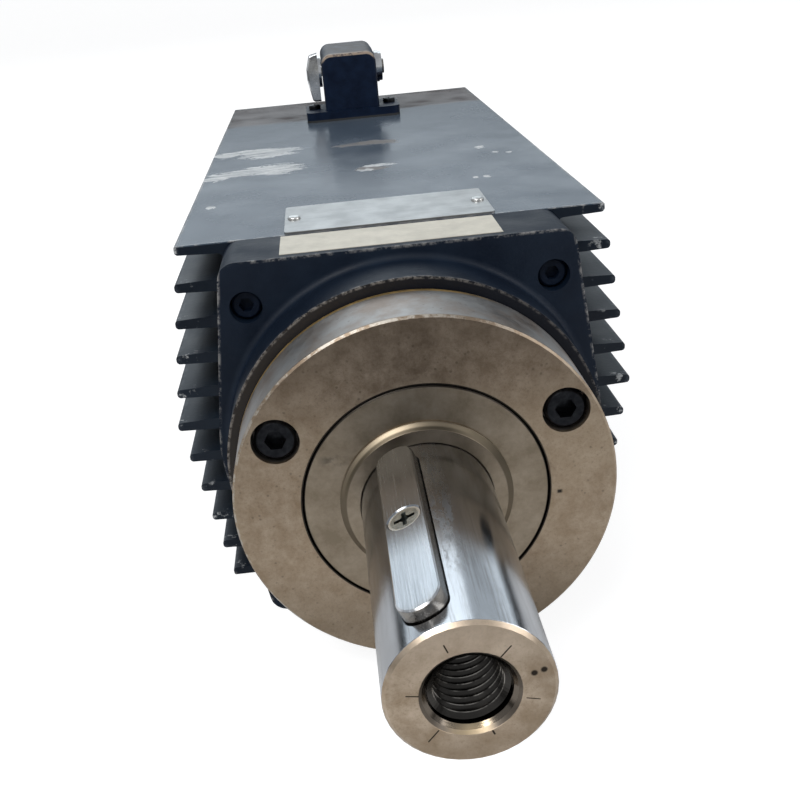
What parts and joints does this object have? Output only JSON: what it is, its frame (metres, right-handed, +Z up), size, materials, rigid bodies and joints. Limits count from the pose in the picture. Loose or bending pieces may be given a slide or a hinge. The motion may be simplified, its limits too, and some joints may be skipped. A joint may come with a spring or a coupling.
{
  "type": "motor spindle",
  "caption": "Fin-cooled square-section spindle motor with a round bearing cover ring, a keyed shaft end with a threaded centre hole, and an angled plug connector on top.",
  "frame": {"origin": "on the shaft axis, in the plane of the bearing cover's rear face (the front pilot's rear end)", "axes": "+Y along the shaft axis towards the motor's rear, so the shaft end points to -Y; +Z up, through the connector; +X to the right when looking from the shaft end"},
  "size_m": [0.1746, 0.5764, 0.1758],
  "materials": {
    "casting_paint": "semi-gloss dark blue-grey enamel",
    "connector_paint": "semi-gloss dark enamel with worn edges",
    "ring_steel": "fine-turned steel, handled and slightly browned",
    "shaft_steel": "ground steel with light wear",
    "key_steel": "drawn key steel",
    "flinger_steel": "turned steel",
    "bright_screw": "zinc plated",
    "black_screw": "black oxide",
    "bearing_steel": "ground bearing steel",
    "cage_brass": "machined brass",
    "core_steel": "stacked laminations",
    "winding_copper": "enamelled copper, varnished",
    "cast_aluminium": "as cast",
    "plain_aluminium": "turned",
    "plate_aluminium": "bare satin sheet",
    "label_cream": "blank film label",
    "black_rubber": "nitrile rubber",
    "black_plastic": "moulded, matt",
    "lever_chrome": "plated steel"
  },
  "bodies": {
    "motor_body": {"bearing_cover": "ring_steel", "cover_screws": "black_screw", "shaft_seal": "black_rubber", "front_bearing_outer_ring": "bearing_steel", "rear_bearing_outer_ring": "bearing_steel", "front_end_shield": "casting_paint", "front_shield_screws": "black_screw", "stator_housing": "casting_paint", "stator_core": "core_steel", "stator_winding": "winding_copper", "rear_end_shield": "casting_paint", "rear_shield_screws": "black_screw", "preload_spring": "bearing_steel", "bearing_plate": "plain_aluminium", "bearing_plate_screws": "bright_screw", "encoder_body": "black_plastic", "rear_cover": "casting_paint", "rear_cover_screws": "black_screw", "nameplate": "plate_aluminium", "nameplate_rivets": "bright_screw", "blank_label": "label_cream", "connector_gasket": "black_rubber", "connector_housing": "connector_paint", "connector_insert": "black_plastic", "connector_screws": "bright_screw", "lever_pins": "lever_chrome"},
    "rotor": {"shaft": "shaft_steel", "shaft_key": "key_steel", "key_screw": "bright_screw", "flinger_disc": "flinger_steel", "front_bearing_inner_ring": "bearing_steel", "rear_bearing_inner_ring": "bearing_steel", "rotor_core": "core_steel", "rotor_end_rings": "cast_aluminium", "rear_circlip": "black_screw", "encoder_collar": "plain_aluminium"},
    "front_ball_set": {"front_bearing_cage": "cage_brass", "front_bearing_balls": "bearing_steel"},
    "rear_ball_set": {"rear_bearing_cage": "cage_brass", "rear_bearing_balls": "bearing_steel"},
    "lever": {"locking_lever": "lever_chrome"}
  },
  "joints": [
    {"name": "rotor_spin", "type": "hinge", "parent": "motor_body", "child": "rotor", "pos_m": [0, 0, 0], "axis": [0, -1, 0], "continuous": true},
    {"name": "front_cage_spin", "type": "hinge", "parent": "motor_body", "child": "front_ball_set", "pos_m": [0, 0, 0], "axis": [0, -1, 0], "continuous": true},
    {"name": "rear_cage_spin", "type": "hinge", "parent": "motor_body", "child": "rear_ball_set", "pos_m": [0, 0, 0], "axis": [0, -1, 0], "continuous": true},
    {"name": "lever_hinge", "type": "hinge", "parent": "motor_body", "child": "lever", "pos_m": [0, 0.327, 0.0937], "axis": [1, 0, 0], "range_deg": [0, 95]}
  ],
  "couplings": [
    {"joint": "front_cage_spin", "follows": "rotor_spin", "ratio": 0.40769},
    {"joint": "rear_cage_spin", "follows": "rotor_spin", "ratio": 0.4}
  ]
}
